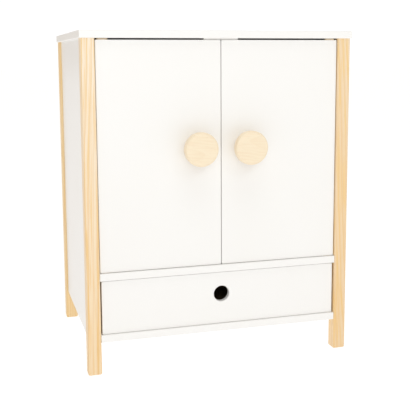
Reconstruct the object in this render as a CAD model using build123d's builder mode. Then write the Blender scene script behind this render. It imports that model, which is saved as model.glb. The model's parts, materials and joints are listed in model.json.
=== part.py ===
from build123d import *
import os

# Doll's wardrobe: four square pine posts stand the full height as legs and hold white
# lacquered boards. Two pivot-hung doors close the upper compartment, and one drawer
# runs between the shelf and the base.
# Millimetres, +Z up, and the front faces -Y. The origin is on the floor, midway across
# and midway between the knobs' front and the posts' back.

# Overall size
HEIGHT = 500.0
WIDTH = 410.0  # over the posts
DEPTH = 300.0  # over the posts
KNOB_REACH = 28.0  # knob front to the posts' front

# Posts
POST = 20.0
POST_ROUND = 2.5
FOOT_ROUND = 2.4

# Boards
TOP_T = 11.0
TOP_OVERHANG = 2.0
TOP_ROUND = 1.2
SHELF_T = 11.0
BASE_T = 11.0
SIDE_T = 9.0
SIDE_RECESS = 4.0  # post face to side panel face
BACK_T = 3.0
BACK_RECESS = 4.0  # post back to back panel
GROOVE_DEPTH = 4.0
GROOVE_PLAY = 0.1
EDGE_ROUND = 0.6
SHELF_TOP = 151.5
BASE_TOP = 59.4
BOARD_SETBACK = 0.5  # post front to shelf and base front

# Doors
DOOR_T = 9.0
DOOR_RECESS = 4.0  # post front to door front
DOOR_SIDE_GAP = 0.9
DOOR_MEETING_GAP = 1.0
DOOR_TOP_GAP = 2.3
DOOR_BOTTOM_GAP = 0.5
CORNER_ROUND = 1.5  # corners of the doors and the drawer front, seen from the front

# Door pivots
PIVOT_INSET = 10.5  # door's outer edge to the pin
PIN_R = 2.0
PIN_PRESS = 0.02  # radial interference in the door
PIN_RUNNING = 0.08  # radial clearance in the top panel and shelf
PIN_IN_DOOR = 14.0
PIN_IN_TOP = 7.5
PIN_IN_SHELF = 6.5
PIN_END_PLAY = 0.5
PAD_LENGTH = 16.0
PAD_WIDTH = 8.0
PAD_PLAY = 0.2  # pad to top panel or shelf

# Knobs
KNOB_R = 25.0
KNOB_X = 38.0
KNOB_Z = 330.0
KNOB_DISC_T = 13.0
KNOB_DISC_ROUND = 3.5
KNOB_SEAT_R = 14.0
KNOB_SEAT_T = 2.0
KNOB_NECK_R = 11.5
KNOB_FLARE_R = 15.5
SCREW_R = 1.9
SCREW_PILOT_R = 1.88
SCREW_CLEAR_R = 2.3
SCREW_IN_KNOB = 16.0
SCREW_HEAD_R = 4.0
SCREW_HEAD_T = 2.4
SCREW_SLOT = 0.9
SCREW_SLOT_DEPTH = 1.2

# Magnet catch under the top panel, and its strike plates on the doors
CATCH_WIDTH = 52.0
CATCH_DEPTH = 14.0
CATCH_T = 12.0
CATCH_PLATE_T = 1.8  # plate between the catch and the top panel, filling the gap over the doors
CATCH_GAP = 0.4  # strike plate to catch
MAGNET_X = 12.0
MAGNET_WIDTH = 14.0
MAGNET_DEPTH = 8.0
MAGNET_T = 7.0
CATCH_SCREW_X = 22.5
CATCH_SCREW_R = 1.4
CATCH_SCREW_IN_TOP = 7.0
STRIKE_WIDTH = 18.0
STRIKE_HEIGHT = 12.0
STRIKE_T = 1.0
STRIKE_X = 13.0
STRIKE_BELOW_DOOR_TOP = 1.5
STRIKE_SCREW_R = 1.2
STRIKE_SCREW_LENGTH = 7.0
STRIKE_HEAD_R = 2.4

# Clothes rail
RAIL_R = 6.0
RAIL_Z = 452.0
RAIL_Y = 12.0
RAIL_IN_SIDE = 5.0

# Drawer
DRAWER_TOP_GAP = 1.3
DRAWER_BOTTOM_GAP = 0.3
DRAWER_SIDE_GAP = 2.2
DRAWER_FRONT_T = 9.0
DRAWER_WALL_T = 8.0
DRAWER_WALL_TOP = 130.0
DRAWER_RUNNING_GAP = 0.3  # drawer sides above the base
DRAWER_BACK_GAP = 0.5  # closed drawer to back panel
DRAWER_BOTTOM_T = 3.0
DRAWER_BOTTOM_Z = 67.0
HOLE_R = 12.2
HOLE_Z = 105.9
GUIDE_GAP = 0.6
GUIDE_HEIGHT = 15.0

# Dowels, and the nails in the back panel and the drawer
GLUE_GAP = 0.05
POST_DOWEL_R = 3.0
POST_DOWEL_IN_TOP = 7.0
POST_DOWEL_IN_POST = 15.0
DOWEL_R = 2.0
DOWEL_IN_SIDE = 6.0
DOWEL_IN_BOARD = 12.0
DOWEL_IN_POST = 8.0
DOWEL_IN_PANEL = 10.0
DOWEL_CHAMFER = 0.4
DRAWER_DOWEL_R = 2.5
DRAWER_DOWEL_IN_FRONT = 6.0
DRAWER_DOWEL_IN_SIDE = 12.0
NAIL_R = 0.7
NAIL_HEAD_R = 1.6
NAIL_HEAD_T = 0.6
NAIL_HOLE_GAP = 0.03
NAIL_LENGTH = 18.0
NAIL_PITCH = 80.0
NAILS_IN_ROW = 5

# Places worked out from the sizes above
FRONT = KNOB_REACH - (DEPTH + KNOB_REACH) / 2
BACK = FRONT + DEPTH
TOP_UNDER = HEIGHT - TOP_T
POST_INNER = WIDTH / 2 - POST
POST_X = WIDTH / 2 - POST / 2
POST_Y = (FRONT + POST / 2, BACK - POST / 2)
SIDE_INNER = WIDTH / 2 - SIDE_RECESS - SIDE_T
SIDE_MID = SIDE_INNER + SIDE_T / 2
SIDE_Y = (FRONT + POST, BACK - POST)
BACK_FACE = BACK - BACK_RECESS - BACK_T
SHELF_UNDER = SHELF_TOP - SHELF_T
BASE_UNDER = BASE_TOP - BASE_T
DOOR_FRONT = FRONT + DOOR_RECESS
DOOR_BACK = DOOR_FRONT + DOOR_T
DOOR_OUTER = POST_INNER - DOOR_SIDE_GAP
DOOR_INNER = DOOR_MEETING_GAP / 2
DOOR_BOTTOM = SHELF_TOP + DOOR_BOTTOM_GAP
DOOR_TOP = TOP_UNDER - DOOR_TOP_GAP
PIVOT_X = DOOR_OUTER - PIVOT_INSET
PIVOT_Y = DOOR_FRONT + DOOR_T / 2
KNOB_LENGTH = KNOB_REACH + DOOR_RECESS
CATCH_FRONT = DOOR_BACK + STRIKE_T + CATCH_GAP
CATCH_PLATE_UNDER = TOP_UNDER - CATCH_PLATE_T
CATCH_UNDER = CATCH_PLATE_UNDER - CATCH_T
STRIKE_Z = DOOR_TOP - STRIKE_BELOW_DOOR_TOP - STRIKE_HEIGHT / 2
DRAWER_OUTER = POST_INNER - DRAWER_SIDE_GAP
DRAWER_INNER = DRAWER_OUTER - DRAWER_WALL_T
DRAWER_FRONT_BACK = DOOR_FRONT + DRAWER_FRONT_T
DRAWER_FRONT_BOTTOM = BASE_TOP + DRAWER_BOTTOM_GAP
DRAWER_FRONT_TOP = SHELF_UNDER - DRAWER_TOP_GAP
DRAWER_WALL_BOTTOM = BASE_TOP + DRAWER_RUNNING_GAP
DRAWER_REAR = BACK_FACE - DRAWER_BACK_GAP
DRAWER_FLOOR = DRAWER_BOTTOM_Z + DRAWER_BOTTOM_T
GUIDE_INNER = DRAWER_OUTER + GUIDE_GAP

SIDES = {"left": -1, "right": 1}
ROWS = {"front": POST_Y[0], "rear": POST_Y[1]}
ALONG_X = (0, 90, 0)
ALONG_Y = (90, 0, 0)
ALONG_Z = (0, 0, 0)


def mirrored(points):
    """Each (x, y, z) point, and the same point on the other side of the middle."""
    return [(sign * x, y, z) for sign in SIDES.values() for x, y, z in points]


def pegs(points, radius, length, rotation, mode=Mode.ADD):
    """Round pegs, or the holes for them, centred on the points."""
    with Locations(*points):
        Cylinder(radius, length, rotation=rotation, mode=mode)


def holes(points, radius, length, rotation):
    pegs(points, radius + GLUE_GAP, length, rotation, Mode.SUBTRACT)


def block(x_span, y_span, z_span, mode=Mode.ADD):
    """A box between two x, two y and two z values."""
    spans = (x_span, y_span, z_span)
    with Locations(tuple(sum(span) / 2 for span in spans)):
        Box(*(abs(span[1] - span[0]) for span in spans), mode=mode)


def rounded_panel(x_span, z_span, thickness):
    """A board facing the front from DOOR_FRONT, with its corners and edges rounded."""
    front_plane = Plane(origin=(0, DOOR_FRONT, 0), x_dir=(1, 0, 0), z_dir=(0, -1, 0))
    with BuildSketch(front_plane) as outline:
        with Locations((sum(x_span) / 2, sum(z_span) / 2)):
            RectangleRounded(abs(x_span[1] - x_span[0]), z_span[1] - z_span[0], CORNER_ROUND)
    board = extrude(outline.sketch, amount=-thickness)
    fillet(board.edges().filter_by(Axis.Y, reverse=True), EDGE_ROUND)


def nail(point, rotation):
    """One nail with its head flush at the point, driven in against the turned +Z."""
    with Locations(Location(point, rotation)):
        Cylinder(NAIL_R, NAIL_LENGTH, align=(Align.CENTER, Align.CENTER, Align.MAX))
        Cylinder(NAIL_HEAD_R, NAIL_HEAD_T, align=(Align.CENTER, Align.CENTER, Align.MAX))


def nail_holes(points, rotation):
    """Holes for nails whose heads lie flush at the points."""
    with Locations(*(Location(point, rotation) for point in points)):
        for radius, depth in ((NAIL_R, NAIL_LENGTH), (NAIL_HEAD_R, NAIL_HEAD_T)):
            Cylinder(
                radius + NAIL_HOLE_GAP,
                depth,
                align=(Align.CENTER, Align.CENTER, Align.MAX),
                mode=Mode.SUBTRACT,
            )


def cross_slot(centre, rotation):
    """The cross recess in a screw head, cut down from the centre of its face."""
    with Locations(Location(centre, rotation)):
        for turn in (0, 90):
            Box(
                SCREW_HEAD_R,
                SCREW_SLOT,
                2 * SCREW_SLOT_DEPTH,
                rotation=(0, 0, turn),
                mode=Mode.SUBTRACT,
            )


# Dowel centres, each used for the dowels and for the holes on both sides of the joint
post_dowel_length = POST_DOWEL_IN_TOP + POST_DOWEL_IN_POST
post_dowel_z = TOP_UNDER + (POST_DOWEL_IN_TOP - POST_DOWEL_IN_POST) / 2
post_dowel_points = mirrored([(POST_X, y, post_dowel_z) for y in POST_Y])

board_dowel_length = DOWEL_IN_SIDE + DOWEL_IN_BOARD
board_dowel_x = SIDE_INNER + (DOWEL_IN_SIDE - DOWEL_IN_BOARD) / 2
board_dowel_rows = (-90.0, 14.0, 118.0)
shelf_dowel_points = mirrored([(board_dowel_x, y, SHELF_TOP - SHELF_T / 2) for y in board_dowel_rows])
base_dowel_points = mirrored([(board_dowel_x, y, BASE_TOP - BASE_T / 2) for y in board_dowel_rows])

panel_dowel_length = DOWEL_IN_POST + DOWEL_IN_PANEL
panel_dowel_shift = (DOWEL_IN_PANEL - DOWEL_IN_POST) / 2
panel_dowel_y = (SIDE_Y[0] + panel_dowel_shift, SIDE_Y[1] - panel_dowel_shift)
panel_dowel_heights = (100.0, 270.0, 430.0)
panel_dowel_points = mirrored([(SIDE_MID, y, z) for y in panel_dowel_y for z in panel_dowel_heights])

# Nail heads on the back panel, in one row behind the shelf and one behind the base
back_nail_x = [NAIL_PITCH * (i - (NAILS_IN_ROW - 1) / 2) for i in range(NAILS_IN_ROW)]
back_nail_points = [
    (x, BACK_FACE + BACK_T, z)
    for z in (SHELF_TOP - SHELF_T / 2, BASE_TOP - BASE_T / 2)
    for x in back_nail_x
]
NAIL_FROM_BACK = (-90, 0, 0)

os.makedirs("parts", exist_ok=True)

# ---- Posts -----------------------------------------------------------------
for row, post_y in ROWS.items():
    for side, sign in SIDES.items():
        with BuildPart() as post:
            with BuildSketch(Plane.XY):
                with Locations((sign * POST_X, post_y)):
                    RectangleRounded(POST, POST, POST_ROUND)
            extrude(amount=TOP_UNDER)
            fillet(post.faces().sort_by(Axis.Z)[0].edges(), FOOT_ROUND)
            if row == "rear":
                block(
                    (sign * (POST_INNER - 1), sign * (POST_INNER + GROOVE_DEPTH)),
                    (BACK_FACE - GROOVE_PLAY, BACK_FACE + BACK_T + GROOVE_PLAY),
                    (BASE_UNDER, TOP_UNDER),
                    Mode.SUBTRACT,
                )
            holes(post_dowel_points, POST_DOWEL_R, post_dowel_length, ALONG_Z)
            holes(panel_dowel_points, DOWEL_R, panel_dowel_length, ALONG_Y)
        post.part.label = f"post_{row}_{side}"
        export_step(post.part, f"parts/post_{row}_{side}.step")

# ---- Top panel -------------------------------------------------------------
with BuildPart() as top_panel:
    block(
        (-WIDTH / 2 - TOP_OVERHANG, WIDTH / 2 + TOP_OVERHANG),
        (FRONT - TOP_OVERHANG, BACK),
        (TOP_UNDER, HEIGHT),
    )
    fillet(top_panel.edges(), TOP_ROUND)
    holes(post_dowel_points, POST_DOWEL_R, post_dowel_length, ALONG_Z)
    pegs(
        mirrored([(PIVOT_X, PIVOT_Y, TOP_UNDER)]),
        PIN_R + PIN_RUNNING,
        2 * (PIN_IN_TOP + PIN_END_PLAY),
        ALONG_Z,
        Mode.SUBTRACT,
    )
    holes(
        mirrored([(CATCH_SCREW_X, CATCH_FRONT + CATCH_DEPTH / 2, TOP_UNDER)]),
        CATCH_SCREW_R,
        2 * CATCH_SCREW_IN_TOP,
        ALONG_Z,
    )
top_panel.part.label = "top_panel"
export_step(top_panel.part, "parts/top_panel.step")

# ---- Shelf and base, notched round the posts ----------------------------------
for name, upper, thickness, dowel_points in (
    ("shelf", SHELF_TOP, SHELF_T, shelf_dowel_points),
    ("base_panel", BASE_TOP, BASE_T, base_dowel_points),
):
    with BuildPart() as board:
        with BuildSketch(Plane.XY.offset(upper - thickness)) as outline:
            with Locations((0, (FRONT + BOARD_SETBACK + BACK_FACE) / 2)):
                Rectangle(2 * SIDE_INNER, BACK_FACE - FRONT - BOARD_SETBACK)
            with Locations(*((s * POST_X, y) for s in SIDES.values() for y in POST_Y)):
                Rectangle(POST, POST, mode=Mode.SUBTRACT)
        extrude(amount=thickness)
        fillet(board.faces().sort_by(Axis.Y)[0].edges(), EDGE_ROUND)
        holes(dowel_points, DOWEL_R, board_dowel_length, ALONG_X)
        nail_holes(back_nail_points, NAIL_FROM_BACK)
        if name == "shelf":
            pegs(
                mirrored([(PIVOT_X, PIVOT_Y, SHELF_TOP)]),
                PIN_R + PIN_RUNNING,
                2 * (PIN_IN_SHELF + PIN_END_PLAY),
                ALONG_Z,
                Mode.SUBTRACT,
            )
    board.part.label = name
    export_step(board.part, f"parts/{name}.step")

# ---- Side panels and drawer guides -----------------------------------------
for side, sign in SIDES.items():
    with BuildPart() as side_panel:
        block(
            (sign * SIDE_INNER, sign * (SIDE_INNER + SIDE_T)),
            SIDE_Y,
            (BASE_UNDER, TOP_UNDER),
        )
        holes(shelf_dowel_points + base_dowel_points, DOWEL_R, board_dowel_length, ALONG_X)
        holes(panel_dowel_points, DOWEL_R, panel_dowel_length, ALONG_Y)
        holes([(0, RAIL_Y, RAIL_Z)], RAIL_R, 2 * (SIDE_INNER + RAIL_IN_SIDE), ALONG_X)
    side_panel.part.label = f"side_panel_{side}"
    export_step(side_panel.part, f"parts/side_panel_{side}.step")

    with BuildPart() as guide:
        block(
            (sign * GUIDE_INNER, sign * SIDE_INNER),
            SIDE_Y,
            (BASE_TOP, BASE_TOP + GUIDE_HEIGHT),
        )
        guide_ends = guide.edges().filter_by(Axis.Z).group_by(Axis.X)[0 if sign > 0 else -1]
        chamfer(guide_ends, GUIDE_GAP)
    guide.part.label = f"drawer_guide_{side}"
    export_step(guide.part, f"parts/drawer_guide_{side}.step")

# ---- Back panel, held in the rear posts' grooves and nailed to shelf and base -----------
back_panel_half = POST_INNER + GROOVE_DEPTH - GROOVE_PLAY
with BuildPart() as back_panel:
    block(
        (-back_panel_half, back_panel_half),
        (BACK_FACE, BACK_FACE + BACK_T),
        (BASE_UNDER, TOP_UNDER),
    )
    nail_holes(back_nail_points, NAIL_FROM_BACK)
back_panel.part.label = "back_panel"
export_step(back_panel.part, "parts/back_panel.step")

with BuildPart() as back_nails:
    for point in back_nail_points:
        nail(point, NAIL_FROM_BACK)
back_nails.part.label = "back_nails"
export_step(back_nails.part, "parts/back_nails.step")

# ---- Clothes rail ----------------------------------------------------------
with BuildPart() as clothes_rail:
    pegs([(0, RAIL_Y, RAIL_Z)], RAIL_R, 2 * (SIDE_INNER + RAIL_IN_SIDE), ALONG_X)
clothes_rail.part.label = "clothes_rail"
export_step(clothes_rail.part, "parts/clothes_rail.step")

# ---- Frame dowels ----------------------------------------------------------
for name, points, radius, length, rotation in (
    ("post_dowels", post_dowel_points, POST_DOWEL_R, post_dowel_length, ALONG_Z),
    ("shelf_dowels", shelf_dowel_points, DOWEL_R, board_dowel_length, ALONG_X),
    ("base_dowels", base_dowel_points, DOWEL_R, board_dowel_length, ALONG_X),
    ("side_panel_dowels", panel_dowel_points, DOWEL_R, panel_dowel_length, ALONG_Y),
):
    with BuildPart() as dowels:
        pegs(points, radius, length, rotation)
        chamfer(dowels.edges().filter_by(GeomType.CIRCLE), DOWEL_CHAMFER)
    dowels.part.label = name
    export_step(dowels.part, f"parts/{name}.step")

# ---- Magnet catch ----------------------------------------------------------
magnet_front = (CATCH_FRONT, CATCH_FRONT + MAGNET_DEPTH)
magnet_z = (CATCH_UNDER + (CATCH_T - MAGNET_T) / 2, CATCH_UNDER + (CATCH_T + MAGNET_T) / 2)
catch_screw_heads = mirrored([(CATCH_SCREW_X, CATCH_FRONT + CATCH_DEPTH / 2, CATCH_UNDER)])

with BuildPart() as catch_plate:
    block(
        (-CATCH_WIDTH / 2, CATCH_WIDTH / 2),
        (DOOR_FRONT, CATCH_FRONT + CATCH_DEPTH),
        (CATCH_PLATE_UNDER, TOP_UNDER),
    )
    fillet(catch_plate.edges().filter_by(Axis.Z), EDGE_ROUND)
    holes(catch_screw_heads, CATCH_SCREW_R, 4 * CATCH_T, ALONG_Z)
catch_plate.part.label = "catch_plate"
export_step(catch_plate.part, "parts/catch_plate.step")

with BuildPart() as catch_housing:
    block(
        (-CATCH_WIDTH / 2, CATCH_WIDTH / 2),
        (CATCH_FRONT, CATCH_FRONT + CATCH_DEPTH),
        (CATCH_UNDER, CATCH_PLATE_UNDER),
    )
    fillet(catch_housing.edges().filter_by(Axis.Z), EDGE_ROUND)
    for sign in SIDES.values():
        magnet_x = (sign * MAGNET_X - MAGNET_WIDTH / 2, sign * MAGNET_X + MAGNET_WIDTH / 2)
        block(magnet_x, magnet_front, magnet_z, Mode.SUBTRACT)
    holes(catch_screw_heads, CATCH_SCREW_R, 2 * CATCH_T, ALONG_Z)
catch_housing.part.label = "catch_housing"
export_step(catch_housing.part, "parts/catch_housing.step")

with BuildPart() as catch_magnets:
    for sign in SIDES.values():
        magnet_x = (sign * MAGNET_X - MAGNET_WIDTH / 2, sign * MAGNET_X + MAGNET_WIDTH / 2)
        block(magnet_x, magnet_front, magnet_z)
catch_magnets.part.label = "catch_magnets"
export_step(catch_magnets.part, "parts/catch_magnets.step")

with BuildPart() as catch_screws:
    for x, y, z in catch_screw_heads:
        shank = CATCH_T + CATCH_PLATE_T + CATCH_SCREW_IN_TOP
        pegs([(x, y, z + shank / 2)], CATCH_SCREW_R, shank, ALONG_Z)
        pegs([(x, y, z - STRIKE_T / 2)], STRIKE_HEAD_R, STRIKE_T, ALONG_Z)
catch_screws.part.label = "catch_screws"
export_step(catch_screws.part, "parts/catch_screws.step")

# ---- Doors, with what is fixed to them --------------------------------------
pin_spans = (
    (DOOR_TOP - PIN_IN_DOOR, TOP_UNDER + PIN_IN_TOP),
    (SHELF_TOP - PIN_IN_SHELF, DOOR_BOTTOM + PIN_IN_DOOR),
)
pad_spans = ((DOOR_TOP, TOP_UNDER - PAD_PLAY), (SHELF_TOP + PAD_PLAY, DOOR_BOTTOM))
screw_length = DOOR_T + SCREW_IN_KNOB

for side, sign in SIDES.items():
    pivot_x = sign * PIVOT_X
    knob_x = sign * KNOB_X
    strike_x = sign * STRIKE_X
    strike_point = (strike_x, DOOR_BACK, STRIKE_Z)

    with BuildPart() as door:
        rounded_panel((sign * DOOR_INNER, sign * DOOR_OUTER), (DOOR_BOTTOM, DOOR_TOP), DOOR_T)
        pegs(
            [(pivot_x, PIVOT_Y, DOOR_TOP), (pivot_x, PIVOT_Y, DOOR_BOTTOM)],
            PIN_R - PIN_PRESS,
            2 * PIN_IN_DOOR,
            ALONG_Z,
            Mode.SUBTRACT,
        )
        pegs([(knob_x, PIVOT_Y, KNOB_Z)], SCREW_CLEAR_R, 2 * DOOR_T, ALONG_Y, Mode.SUBTRACT)
        holes([strike_point], STRIKE_SCREW_R, 2 * STRIKE_SCREW_LENGTH, ALONG_Y)
    door.part.label = f"door_{side}"
    export_step(door.part, f"parts/door_{side}.step")

    with BuildPart() as hinge_pins:
        for low, high in pin_spans:
            pegs([(pivot_x, PIVOT_Y, (low + high) / 2)], PIN_R, high - low, ALONG_Z)
        chamfer(hinge_pins.edges().filter_by(GeomType.CIRCLE), DOWEL_CHAMFER)
    hinge_pins.part.label = f"hinge_pins_{side}"
    export_step(hinge_pins.part, f"parts/hinge_pins_{side}.step")

    with BuildPart() as pivot_pads:
        for low, high in pad_spans:
            with BuildSketch(Plane.XY.offset(low)):
                with Locations((pivot_x, PIVOT_Y)):
                    SlotOverall(PAD_LENGTH, PAD_WIDTH)
                    Circle(PIN_R + PIN_RUNNING, mode=Mode.SUBTRACT)
            extrude(amount=high - low)
    pivot_pads.part.label = f"pivot_pads_{side}"
    export_step(pivot_pads.part, f"parts/pivot_pads_{side}.step")

    # The knob's half outline: x is the radius, y runs from the door towards the viewer
    knob_plane = Plane(origin=(knob_x, DOOR_FRONT, KNOB_Z), x_dir=(1, 0, 0), z_dir=(0, 0, -1))
    disc_back = KNOB_LENGTH - KNOB_DISC_T
    with BuildPart() as knob:
        with BuildSketch(knob_plane):
            with BuildLine():
                Polyline((KNOB_FLARE_R, disc_back), (KNOB_R, disc_back), (KNOB_R, KNOB_LENGTH))
                Polyline((KNOB_R, KNOB_LENGTH), (0, KNOB_LENGTH), (0, 0))
                Polyline((0, 0), (KNOB_SEAT_R, 0), (KNOB_SEAT_R, KNOB_SEAT_T))
                ThreePointArc(
                    (KNOB_SEAT_R, KNOB_SEAT_T),
                    (KNOB_NECK_R, (KNOB_SEAT_T + disc_back) / 2),
                    (KNOB_FLARE_R, disc_back),
                )
            make_face()
        revolve(axis=Axis((knob_x, DOOR_FRONT, KNOB_Z), (0, 1, 0)))
        rim = knob.edges().filter_by(GeomType.CIRCLE).group_by(SortBy.RADIUS)[-1]
        fillet(rim, KNOB_DISC_ROUND)
        pegs([(knob_x, DOOR_FRONT, KNOB_Z)], SCREW_PILOT_R, 2 * SCREW_IN_KNOB, ALONG_Y, Mode.SUBTRACT)
    knob.part.label = f"knob_{side}"
    export_step(knob.part, f"parts/knob_{side}.step")

    with BuildPart() as knob_screw:
        pegs([(knob_x, DOOR_BACK - screw_length / 2, KNOB_Z)], SCREW_R, screw_length, ALONG_Y)
        pegs([(knob_x, DOOR_BACK + SCREW_HEAD_T / 2, KNOB_Z)], SCREW_HEAD_R, SCREW_HEAD_T, ALONG_Y)
        fillet(knob_screw.faces().sort_by(Axis.Y)[-1].edges(), SCREW_HEAD_T / 2)
        cross_slot((knob_x, DOOR_BACK + SCREW_HEAD_T, KNOB_Z), ALONG_Y)
    knob_screw.part.label = f"knob_screw_{side}"
    export_step(knob_screw.part, f"parts/knob_screw_{side}.step")

    with BuildPart() as strike_plate:
        with Locations((strike_x, DOOR_BACK + STRIKE_T / 2, STRIKE_Z)):
            Box(STRIKE_WIDTH, STRIKE_T, STRIKE_HEIGHT)
        fillet(strike_plate.edges().filter_by(Axis.Y), EDGE_ROUND)
        with Locations(Location((strike_x, DOOR_BACK, STRIKE_Z), NAIL_FROM_BACK)):
            Cone(
                STRIKE_SCREW_R + GLUE_GAP,
                STRIKE_HEAD_R + GLUE_GAP,
                STRIKE_T,
                align=(Align.CENTER, Align.CENTER, Align.MIN),
                mode=Mode.SUBTRACT,
            )
    strike_plate.part.label = f"strike_plate_{side}"
    export_step(strike_plate.part, f"parts/strike_plate_{side}.step")

    with BuildPart() as strike_screw:
        shank_middle = (strike_x, DOOR_BACK - STRIKE_SCREW_LENGTH / 2, STRIKE_Z)
        pegs([shank_middle], STRIKE_SCREW_R, STRIKE_SCREW_LENGTH, ALONG_Y)
        with Locations(Location((strike_x, DOOR_BACK, STRIKE_Z), NAIL_FROM_BACK)):
            Cone(
                STRIKE_SCREW_R,
                STRIKE_HEAD_R,
                STRIKE_T,
                align=(Align.CENTER, Align.CENTER, Align.MIN),
            )
    strike_screw.part.label = f"strike_screw_{side}"
    export_step(strike_screw.part, f"parts/strike_screw_{side}.step")

# ---- Drawer ----------------------------------------------------------------
drawer_groove_z = (DRAWER_BOTTOM_Z - GLUE_GAP, DRAWER_FLOOR + GLUE_GAP)
drawer_groove_x = DRAWER_INNER + GROOVE_DEPTH
drawer_groove_y = DRAWER_FRONT_BACK - GROOVE_DEPTH
drawer_dowel_length = DRAWER_DOWEL_IN_FRONT + DRAWER_DOWEL_IN_SIDE
drawer_dowel_y = DRAWER_FRONT_BACK + (DRAWER_DOWEL_IN_SIDE - DRAWER_DOWEL_IN_FRONT) / 2
drawer_dowel_points = mirrored(
    [((DRAWER_OUTER + DRAWER_INNER) / 2, drawer_dowel_y, z) for z in (83.0, 117.0)]
)
drawer_back_mid = DRAWER_REAR - DRAWER_WALL_T / 2
drawer_nails_side = {
    side: [(sign * DRAWER_OUTER, drawer_back_mid, z) for z in (83.0, 117.0)]
    for side, sign in SIDES.items()
}
drawer_nails_under = [(x, drawer_back_mid, DRAWER_BOTTOM_Z) for x in (-100.0, 0.0, 100.0)]
NAIL_FROM_SIDE = {"left": (0, -90, 0), "right": (0, 90, 0)}
NAIL_FROM_BELOW = (180, 0, 0)

with BuildPart() as drawer_front:
    rounded_panel(
        (-DRAWER_OUTER, DRAWER_OUTER),
        (DRAWER_FRONT_BOTTOM, DRAWER_FRONT_TOP),
        DRAWER_FRONT_T,
    )
    pegs([(0, DOOR_FRONT, HOLE_Z)], HOLE_R, 4 * DRAWER_FRONT_T, ALONG_Y, Mode.SUBTRACT)
    fillet(drawer_front.edges().filter_by(GeomType.CIRCLE).group_by(SortBy.RADIUS)[-1], EDGE_ROUND)
    block(
        (-drawer_groove_x, drawer_groove_x),
        (drawer_groove_y, DRAWER_FRONT_BACK),
        drawer_groove_z,
        Mode.SUBTRACT,
    )
    holes(drawer_dowel_points, DRAWER_DOWEL_R, drawer_dowel_length, ALONG_Y)
drawer_front.part.label = "drawer_front"
export_step(drawer_front.part, "parts/drawer_front.step")

for side, sign in SIDES.items():
    with BuildPart() as drawer_side:
        block(
            (sign * DRAWER_INNER, sign * DRAWER_OUTER),
            (DRAWER_FRONT_BACK, DRAWER_REAR),
            (DRAWER_WALL_BOTTOM, DRAWER_WALL_TOP),
        )
        fillet(drawer_side.faces().sort_by(Axis.Z)[-1].edges().filter_by(Axis.Y), EDGE_ROUND)
        block(
            (sign * DRAWER_INNER, sign * drawer_groove_x),
            (DRAWER_FRONT_BACK, DRAWER_REAR),
            drawer_groove_z,
            Mode.SUBTRACT,
        )
        holes(drawer_dowel_points, DRAWER_DOWEL_R, drawer_dowel_length, ALONG_Y)
        nail_holes(drawer_nails_side[side], NAIL_FROM_SIDE[side])
    drawer_side.part.label = f"drawer_side_{side}"
    export_step(drawer_side.part, f"parts/drawer_side_{side}.step")

with BuildPart() as drawer_back:
    block(
        (-DRAWER_INNER, DRAWER_INNER),
        (DRAWER_REAR - DRAWER_WALL_T, DRAWER_REAR),
        (DRAWER_FLOOR, DRAWER_WALL_TOP),
    )
    fillet(drawer_back.faces().sort_by(Axis.Z)[-1].edges().filter_by(Axis.X), EDGE_ROUND)
    for side in SIDES:
        nail_holes(drawer_nails_side[side], NAIL_FROM_SIDE[side])
    nail_holes(drawer_nails_under, NAIL_FROM_BELOW)
drawer_back.part.label = "drawer_back"
export_step(drawer_back.part, "parts/drawer_back.step")

with BuildPart() as drawer_bottom:
    block(
        (-drawer_groove_x + GROOVE_PLAY, drawer_groove_x - GROOVE_PLAY),
        (drawer_groove_y + GROOVE_PLAY, DRAWER_REAR),
        (DRAWER_BOTTOM_Z, DRAWER_FLOOR),
    )
    nail_holes(drawer_nails_under, NAIL_FROM_BELOW)
drawer_bottom.part.label = "drawer_bottom"
export_step(drawer_bottom.part, "parts/drawer_bottom.step")

with BuildPart() as drawer_dowels:
    pegs(drawer_dowel_points, DRAWER_DOWEL_R, drawer_dowel_length, ALONG_Y)
    chamfer(drawer_dowels.edges().filter_by(GeomType.CIRCLE), DOWEL_CHAMFER)
drawer_dowels.part.label = "drawer_dowels"
export_step(drawer_dowels.part, "parts/drawer_dowels.step")

with BuildPart() as drawer_nails:
    for side in SIDES:
        for point in drawer_nails_side[side]:
            nail(point, NAIL_FROM_SIDE[side])
    for point in drawer_nails_under:
        nail(point, NAIL_FROM_BELOW)
drawer_nails.part.label = "drawer_nails"
export_step(drawer_nails.part, "parts/drawer_nails.step")
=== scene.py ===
import json
import math

import bpy
from mathutils import Matrix, Vector


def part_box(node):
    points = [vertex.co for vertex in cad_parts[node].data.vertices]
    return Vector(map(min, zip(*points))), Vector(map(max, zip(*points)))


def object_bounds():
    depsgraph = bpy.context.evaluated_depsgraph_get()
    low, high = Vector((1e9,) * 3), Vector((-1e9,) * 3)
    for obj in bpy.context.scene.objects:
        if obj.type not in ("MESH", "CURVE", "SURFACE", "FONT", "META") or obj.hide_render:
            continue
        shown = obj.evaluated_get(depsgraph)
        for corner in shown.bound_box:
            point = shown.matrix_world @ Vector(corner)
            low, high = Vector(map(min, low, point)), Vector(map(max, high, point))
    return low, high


# Doll's wardrobe: the looks. Everything is in metres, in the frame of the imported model.
# The CAD nodes keep their shapes, and each gets a procedural material worked out from its
# place in the object, so wood grain runs through a piece as it does in a solid one.

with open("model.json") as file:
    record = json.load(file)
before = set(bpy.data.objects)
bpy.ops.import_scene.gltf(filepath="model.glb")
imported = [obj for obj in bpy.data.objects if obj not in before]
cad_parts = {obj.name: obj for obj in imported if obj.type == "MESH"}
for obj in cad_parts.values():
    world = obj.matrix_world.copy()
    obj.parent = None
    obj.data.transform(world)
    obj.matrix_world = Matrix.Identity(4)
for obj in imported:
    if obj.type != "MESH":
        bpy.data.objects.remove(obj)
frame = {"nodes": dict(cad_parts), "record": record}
CAD_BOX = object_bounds()
NODES = frame["nodes"]
SLOT_OF = {part["node"]: part["material_slot"] for part in frame["record"]["subparts"]}
MM = 0.001


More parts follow.
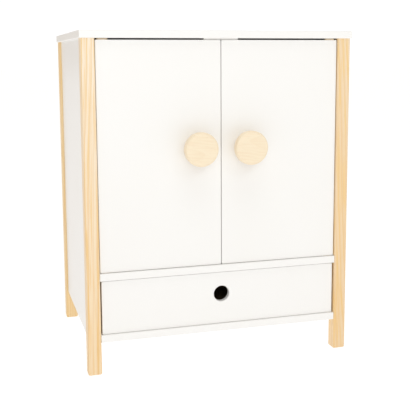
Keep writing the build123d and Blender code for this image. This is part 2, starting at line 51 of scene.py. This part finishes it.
# ---- Node building ---------------------------------------------------------------
class Shader:
    """A material's node tree. Most methods add nodes to it and return the last one's socket."""

    def __init__(self, name):
        self.material = bpy.data.materials.new(name)
        self.material.use_nodes = True
        self.tree = self.material.node_tree
        self.tree.nodes.clear()
        output = self.tree.nodes.new("ShaderNodeOutputMaterial")
        self.surface = self.tree.nodes.new("ShaderNodeBsdfPrincipled")
        self.tree.links.new(self.surface.outputs["BSDF"], output.inputs["Surface"])

    def put(self, value, socket):
        """Links a socket, or sets a constant."""
        if isinstance(value, bpy.types.NodeSocket):
            self.tree.links.new(value, socket)
        else:
            socket.default_value = value

    def finish(self, **values):
        """Sets the surface's own sockets by name, with underscores for spaces."""
        for name, value in values.items():
            self.put(value, self.surface.inputs[name.replace("_", " ")])
        return self.material

    def place(self, centre=(0, 0, 0), turn=(0, 0, 0)):
        """Object coordinates, measured from centre along axes turned by turn (radians)."""
        where = self.tree.nodes.new("ShaderNodeTexCoord").outputs["Object"]
        mapping = self.tree.nodes.new("ShaderNodeMapping")
        mapping.vector_type = "TEXTURE"
        mapping.inputs["Location"].default_value = centre
        mapping.inputs["Rotation"].default_value = turn
        self.put(where, mapping.inputs["Vector"])
        return mapping.outputs["Vector"]

    def vector(self, operation, a, b=None, scale=None):
        node = self.tree.nodes.new("ShaderNodeVectorMath")
        node.operation = operation
        self.put(a, node.inputs[0])
        if b is not None:
            self.put(b, node.inputs[1])
        if scale is not None:
            self.put(scale, node.inputs["Scale"])
        return node.outputs["Value" if operation in ("LENGTH", "DOT_PRODUCT") else "Vector"]

    def number(self, operation, a, b=0.0, c=0.0, clamp=False):
        node = self.tree.nodes.new("ShaderNodeMath")
        node.operation = operation
        node.use_clamp = clamp
        for value, socket in zip((a, b, c), node.inputs):
            self.put(value, socket)
        return node.outputs["Value"]

    def noise(self, where, scale, detail=2.0, rough=0.5, colour=False):
        """Soft noise. scale is one number, or three to stretch it, in features per metre."""
        if isinstance(scale, (int, float)):
            scale = (scale, scale, scale)
        node = self.tree.nodes.new("ShaderNodeTexNoise")
        node.inputs["Scale"].default_value = 1.0
        node.inputs["Detail"].default_value = detail
        node.inputs["Roughness"].default_value = rough
        self.put(self.vector("MULTIPLY", where, scale), node.inputs["Vector"])
        return node.outputs["Color" if colour else "Fac"]

    def chance(self, value):
        """One random number, from 0 to 1, for each whole value."""
        node = self.tree.nodes.new("ShaderNodeTexWhiteNoise")
        node.noise_dimensions = "1D"
        self.put(value, node.inputs["W"])
        return node.outputs["Value"]

    def ramp(self, fac, stops):
        """stops are (position, grey) or (position, (r, g, b))."""
        node = self.tree.nodes.new("ShaderNodeValToRGB")
        node.color_ramp.interpolation = "EASE"
        points = node.color_ramp.elements
        while len(points) < len(stops):
            points.new(1.0)
        for point, (position, colour) in zip(points, stops):
            point.position = position
            rgb = (colour,) * 3 if isinstance(colour, (int, float)) else colour
            point.color = (*rgb, 1.0)
        self.put(fac, node.inputs["Fac"])
        return node.outputs["Color"]

    def mix(self, fac, a, b, blend="MIX"):
        node = self.tree.nodes.new("ShaderNodeMix")
        node.data_type = "RGBA"
        node.blend_type = blend
        for value, index in ((fac, 0), (a, 6), (b, 7)):
            if isinstance(value, tuple):
                value = (*value, 1.0)
            self.put(value, node.inputs[index])
        return node.outputs[2]

    def span(self, value, low, high):
        """Maps 0..1 to low..high."""
        return self.number("MULTIPLY_ADD", value, high - low, low)

    def bump(self, height, depth, below=None):
        """height from 0 to 1 stands for a relief of depth metres."""
        node = self.tree.nodes.new("ShaderNodeBump")
        node.inputs["Strength"].default_value = 1.0
        node.inputs["Distance"].default_value = depth
        self.put(height, node.inputs["Height"])
        if below is not None:
            self.put(below, node.inputs["Normal"])
        return node.outputs["Normal"]


# ---- Materials -------------------------------------------------------------------
# Turns that lay a material's z axis, which the wood grain follows, along an axis of the object
GRAIN = {"x": (0, math.pi / 2, 0), "y": (-math.pi / 2, 0, 0), "z": (0, 0, 0)}

# Painted shade along the grain: the tint multiplies the wood's colour, in full near the foot and not at
# all near the top, so a post looks darker and more amber low down and paler high up, where more light
# falls
FOOT_SHADE_TINT = (0.97, 0.87, 0.70)
FOOT_SHADE_PER_METRE = -2.5
FOOT_SHADE_AT_MIDDLE = 0.6

PINE = dict(
    early=(0.91, 0.74, 0.51),
    late=(0.80, 0.52, 0.22),
    resin=(0.88, 0.61, 0.25),
    ring=4.2 * MM,
    depth=0.8,
    wander=6.0 * MM,
    streaks=0.65,
    flecks=0.35,
    roughness=(0.36, 0.52),
    relief=0.05 * MM,
    foot_shade=0.0,
)
PLANED_PINE = dict(PINE, early=(0.80, 0.62, 0.40), late=(0.66, 0.42, 0.20), roughness=(0.55, 0.7))
BIRCH = dict(
    early=(0.93, 0.81, 0.62),
    late=(0.85, 0.68, 0.46),
    resin=(0.86, 0.68, 0.48),
    ring=2.6 * MM,
    depth=0.45,
    wander=3.0 * MM,
    streaks=0.3,
    flecks=0.5,
    roughness=(0.42, 0.58),
    relief=0.04 * MM,
    foot_shade=0.0,
)
BEECH = dict(
    early=(0.72, 0.50, 0.32),
    late=(0.62, 0.40, 0.24),
    resin=(0.60, 0.38, 0.22),
    ring=1.8 * MM,
    depth=0.5,
    wander=2.0 * MM,
    streaks=0.3,
    flecks=0.8,
    roughness=(0.5, 0.62),
    relief=0.04 * MM,
    foot_shade=0.0,
)


def wood(name, look, grain, pith, lean=(0.0, 0.0)):
    """Solid wood. The rings lie round a line through the point pith along the grain, leaning by
    the two angles lean, in degrees, so they leave the faces as slow, slanting figures."""
    s = Shader(name)
    tilt = Matrix.Rotation(math.radians(lean[0]), 3, "X") @ Matrix.Rotation(math.radians(lean[1]), 3, "Y")
    along = Matrix.Identity(3)
    for angle, axis in zip(GRAIN[grain], "XYZ"):
        along = Matrix.Rotation(angle, 3, axis) @ along
    where = s.place(pith, tuple((along @ tilt).to_euler()))

    # The trunk isn't straight: the rings wander slowly along the grain
    sway = s.vector("SUBTRACT", s.noise(where, (9, 9, 3.5), detail=1.5, colour=True), (0.5, 0.5, 0.5))
    bent = s.vector("ADD", where, s.vector("SCALE", sway, scale=look["wander"]))
    across = s.vector("MULTIPLY", bent, (1, 1, 0))
    radius = s.vector("LENGTH", across)
    uneven = s.noise(where, (60, 60, 8), detail=2.0)
    rings = s.number("MULTIPLY_ADD", uneven, 0.7, s.number("DIVIDE", radius, look["ring"]))
    year = s.number("FRACT", rings)
    late = s.ramp(year, [(0.0, 0.0), (0.35, 0.1), (0.72, 0.55), (0.9, 1.0), (1.0, 0.0)])
    strength = s.span(s.chance(s.number("FLOOR", rings)), 0.35, 1.0)
    late = s.number("MULTIPLY", s.number("MULTIPLY", late, strength), look["depth"])

    # Fibres, and the short dark lines of pores and resin ducts
    fibres = s.noise(bent, (900, 900, 14), detail=4.0, rough=0.6)
    fine = s.noise(bent, (2600, 2600, 60), detail=2.0)
    flecks = s.ramp(s.noise(bent, (1500, 1500, 45), detail=1.0), [(0.0, 0.0), (0.66, 0.0), (0.76, 1.0)])
    tone = s.noise(where, (25, 25, 4), detail=1.0)
    streaks = s.ramp(s.noise(bent, (400, 400, 8), detail=2.0), [(0.0, 0.0), (0.46, 0.0), (0.64, 1.0)])

    colour = s.mix(late, look["early"], look["late"])
    colour = s.mix(s.span(tone, 0.0, 0.18), colour, look["late"])
    colour = s.mix(s.number("MULTIPLY", streaks, look["streaks"]), colour, look["resin"])
    colour = s.mix(s.span(fibres, 0.0, 0.22), colour, look["late"])
    dark = tuple(0.62 * c for c in look["late"])
    colour = s.mix(s.number("MULTIPLY", flecks, look["flecks"] * 0.4), colour, dark)

    # Painted shade: the wood is darker and more amber toward the lower end of the cut, and paler toward
    # the top, where more light falls
    if look["foot_shade"]:
        above_middle = s.vector("DOT_PRODUCT", where, (0, 0, 1))
        slope, start = FOOT_SHADE_PER_METRE, FOOT_SHADE_AT_MIDDLE
        lower = s.number("MULTIPLY_ADD", above_middle, slope, start, clamp=True)
        amount = s.number("MULTIPLY", lower, look["foot_shade"])
        colour = s.mix(amount, colour, FOOT_SHADE_TINT, "MULTIPLY")

    low, high = look["roughness"]
    height = s.number("MULTIPLY_ADD", fine, 0.35, s.number("MULTIPLY", fibres, 0.65))
    height = s.number("SUBTRACT", height, s.number("MULTIPLY", flecks, 0.5))
    return s.finish(
        Base_Color=colour,
        Roughness=s.span(fibres, low, high),
        Normal=s.bump(height, look["relief"]),
        Coat_Weight=0.12,
        Coat_Roughness=0.3,
    )


def lacquer(name, colour, shift, roughness=(0.34, 0.44), relief=0.03 * MM):
    """Sprayed satin lacquer on board: slight orange peel, and hardly any change of tone."""
    s = Shader(name)
    where = s.place(shift)
    cloud = s.noise(where, 7, detail=2.0)
    peel = s.noise(where, 420, detail=2.0, rough=0.55)
    wave = s.noise(where, 60, detail=1.0)
    grit = s.ramp(s.noise(where, 1900, detail=1.0), [(0.0, 0.0), (0.73, 0.0), (0.8, 1.0)])
    warm = tuple(c * k for c, k in zip(colour, (0.985, 0.975, 0.96)))
    tint = s.mix(cloud, colour, warm)
    tint = s.mix(s.number("MULTIPLY", grit, 0.05), tint, (0.6, 0.57, 0.52))
    height = s.number("MULTIPLY_ADD", wave, 0.6, s.number("MULTIPLY", peel, 0.4))
    height = s.number("MULTIPLY_ADD", grit, 0.25, height)
    return s.finish(
        Base_Color=tint,
        Roughness=s.span(peel, *roughness),
        Normal=s.bump(height, relief),
        Coat_Weight=0.25,
        Coat_Roughness=0.22,
    )


def hardboard(name, colour, shift):
    """Plain hardboard: a dull skin of pressed fibres, with darker specks of bark."""
    s = Shader(name)
    where = s.place(shift)
    fibre = s.noise(where, (500, 500, 160), detail=4.0, rough=0.65)
    cloud = s.noise(where, 12, detail=2.0)
    bark = s.ramp(s.noise(where, 900, detail=1.0), [(0.0, 0.0), (0.66, 0.0), (0.74, 1.0)])
    pale = tuple(1.25 * c for c in colour)
    tint = s.mix(s.span(fibre, 0.0, 0.8), s.mix(cloud, colour, pale), tuple(0.72 * c for c in colour))
    tint = s.mix(s.number("MULTIPLY", bark, 0.5), tint, tuple(0.35 * c for c in colour))
    return s.finish(
        Base_Color=tint,
        Roughness=s.span(fibre, 0.55, 0.72),
        Normal=s.bump(fibre, 0.05 * MM),
    )


def metal(name, colour, roughness, scratch):
    """Drawn or plated steel: fine lines along scratch, and a cloudy plating."""
    s = Shader(name)
    where = s.place()
    lines = s.noise(where, scratch, detail=3.0)
    cloud = s.noise(where, 250, detail=2.0)
    dark = tuple(0.78 * c for c in colour)
    return s.finish(
        Base_Color=s.mix(s.number("MULTIPLY", lines, cloud), colour, dark),
        Metallic=1.0,
        Roughness=s.span(cloud, *roughness),
        Normal=s.bump(lines, 0.01 * MM),
    )


def plastic(name, colour, roughness):
    """Moulded plastic with a fine spark-eroded texture."""
    s = Shader(name)
    where = s.place()
    texture = s.noise(where, 2400, detail=2.0)
    flow = s.noise(where, 90, detail=1.0)
    shade = tuple(0.93 * c for c in colour)
    return s.finish(
        Base_Color=s.mix(flow, colour, shade),
        Roughness=s.span(texture, *roughness),
        Normal=s.bump(texture, 0.012 * MM),
    )


WHITE = (0.925, 0.920, 0.914)

# Where each post was cut from its trunk: the pith's offset from the post's middle, its lean, the colour of
# its early wood at the top, and how much painted shade darkens it toward the foot
POST_CUTS = {
    "post_front_left": ((-31, 29), (1.0, 0.8), (0.96, 0.88, 0.77), 1.0),
    "post_front_right": ((30, 24), (1.3, -1.5), (0.89, 0.73, 0.54), 0.5),
    "post_rear_left": ((-34, -16), (0.8, 1.2), (0.93, 0.74, 0.46), 0.3),
    "post_rear_right": ((22, -30), (-1.0, 0.9), (0.91, 0.76, 0.55), 0.4),
}


def middle(node):
    low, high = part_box(node)
    return (low + high) / 2


def post_wood(node):
    (dx, dy), lean, early, foot_shade = POST_CUTS[node]
    look = dict(PINE, early=early, foot_shade=foot_shade)
    return wood(node + "_pine", look, "z", middle(node) + Vector((dx, dy, 0)) * MM, lean)


def board_wood(node):
    """Planed pine with the grain along the piece's longest side."""
    low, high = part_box(node)
    size = list(high - low)
    grain = "xyz"[size.index(max(size))]
    pith = middle(node) + Vector((11, 17, -38)) * MM
    return wood(node + "_wood", PLANED_PINE, grain, pith, (0.5, 0.8))


def knob_wood(node):
    side = 1 if middle(node).x > 0 else -1
    pith = middle(node) + Vector((0, 14, 9 * side)) * MM
    return wood(node + "_birch", BIRCH, "x", pith, (4.0 * side, 3.0))


def dowel_wood(node):
    grain = {"post_dowels": "z", "side_panel_dowels": "y", "drawer_dowels": "y"}.get(node, "x")
    pith = middle(node) + Vector((5, 9, 13)) * MM
    return wood(node + "_beech", BEECH, grain, pith, (0.6, 0.4))


MAKERS = {
    "white_lacquer": lambda node: lacquer(node + "_lacquer", WHITE, middle(node)),
    "brown_hardboard": lambda node: hardboard(node + "_board", (0.36, 0.22, 0.12), middle(node)),
    "pine": post_wood,
    "planed_pine": board_wood,
    "knob_wood": knob_wood,
    "beech": dowel_wood,
    "bright_steel": lambda node: metal(node + "_steel", (0.62, 0.61, 0.60), (0.25, 0.4), (1500, 1500, 90)),
    "zinc_plate": lambda node: metal(node + "_zinc", (0.72, 0.72, 0.70), (0.3, 0.5), (900, 900, 900)),
    "tan_nylon": lambda node: plastic(node + "_nylon", (0.62, 0.49, 0.33), (0.4, 0.5)),
    "white_plastic": lambda node: plastic(node + "_plastic", (0.84, 0.82, 0.79), (0.35, 0.45)),
    "magnet": lambda node: metal(node + "_magnet", (0.22, 0.22, 0.22), (0.45, 0.6), (700, 700, 700)),
}

for node, obj in NODES.items():
    material = MAKERS[SLOT_OF[node]](node)
    for slot in obj.material_slots:
        slot.material = material

# ---- Floor, lights and camera ----------------------------------------------------------
low, high = CAD_BOX
CENTRE = (low + high) / 2

FLOOR_HALF = 40.0
FLOOR_GLOW = 0.84  # the floor is lit from below, as a photographer's light table is


def floor_material():
    s = Shader("studio_floor")
    fine = s.noise(s.place(), 30, detail=3.0)
    return s.finish(
        Base_Color=s.mix(fine, (0.29, 0.29, 0.29), (0.31, 0.31, 0.31)),
        Roughness=1.0,
        Specular_IOR_Level=0.0,
        Emission_Color=(1, 1, 1, 1),
        Emission_Strength=FLOOR_GLOW,
    )


floor_mesh = bpy.data.meshes.new("studio_floor")
corners = [(x * FLOOR_HALF, y * FLOOR_HALF, 0.0) for x, y in ((-1, -1), (1, -1), (1, 1), (-1, 1))]
floor_mesh.from_pydata(corners, [], [(0, 1, 2, 3)])
floor_mesh.materials.append(floor_material())
floor = bpy.data.objects.new("studio_floor", floor_mesh)
bpy.context.scene.collection.objects.link(floor)


def aim(obj, place, target):
    obj.location = place
    obj.rotation_euler = (Vector(target) - Vector(place)).to_track_quat("-Z", "Y").to_euler()


def softbox(name, place, width, height, power, colour):
    """A rectangular light, in metres and watts, turned to the middle of the object."""
    light = bpy.data.lights.new(name, "AREA")
    light.shape = "RECTANGLE"
    light.size, light.size_y = width, height
    light.energy = power
    light.color = colour
    obj = bpy.data.objects.new(name, light)
    obj.visible_camera = False
    bpy.context.scene.collection.objects.link(obj)
    aim(obj, place, CENTRE)


softbox("key", (0.8, -2.4, 1.9), 0.8, 0.6, 5.3, (0.82, 0.93, 1.0))
softbox("front", (-0.35, -1.6, 0.8), 0.7, 0.7, 3.7, (0.82, 0.93, 1.0))
softbox("top", (0.0, -0.8, 2.3), 1.4, 1.0, 9, (0.86, 0.95, 1.0))

AMBIENT = (0.65, 0.595, 0.53)
BACKDROP = 1.05
world = bpy.data.worlds.new("studio")
bpy.context.scene.world = world
world.use_nodes = True
tree = world.node_tree
tree.nodes.clear()
seen = tree.nodes.new("ShaderNodeBackground")
seen.inputs["Color"].default_value = (1, 1, 1, 1)
seen.inputs["Strength"].default_value = BACKDROP
lit = tree.nodes.new("ShaderNodeBackground")
lit.inputs["Color"].default_value = (*AMBIENT, 1)
path = tree.nodes.new("ShaderNodeLightPath")
choose = tree.nodes.new("ShaderNodeMixShader")
tree.links.new(path.outputs["Is Camera Ray"], choose.inputs[0])
tree.links.new(lit.outputs[0], choose.inputs[1])
tree.links.new(seen.outputs[0], choose.inputs[2])
tree.links.new(choose.outputs[0], tree.nodes.new("ShaderNodeOutputWorld").inputs["Surface"])

# The camera stands to the left of the front, a little below the top, and looks slightly down
CAMERA_AT = Vector((-0.350, -1.252, 0.458))
CAMERA_TURN = 16.17
CAMERA_DIP = 7.75
CAMERA_ROLL = -0.30
LENS = 69.87
SHIFT_Y = -0.09

camera_data = bpy.data.cameras.new("camera")
camera_data.sensor_width = 36.0
camera_data.lens = LENS
camera_data.shift_y = SHIFT_Y
camera_data.clip_start = 0.01
camera_data.clip_end = 100.0
camera = bpy.data.objects.new("camera", camera_data)
bpy.context.scene.collection.objects.link(camera)
camera.matrix_world = (
    Matrix.Translation(CAMERA_AT)
    @ Matrix.Rotation(-math.radians(CAMERA_TURN), 4, "Z")
    @ Matrix.Rotation(math.radians(90 - CAMERA_DIP), 4, "X")
    @ Matrix.Rotation(math.radians(CAMERA_ROLL), 4, "Z")
)
bpy.context.scene.camera = camera
bpy.context.scene.view_settings.view_transform = "Standard"
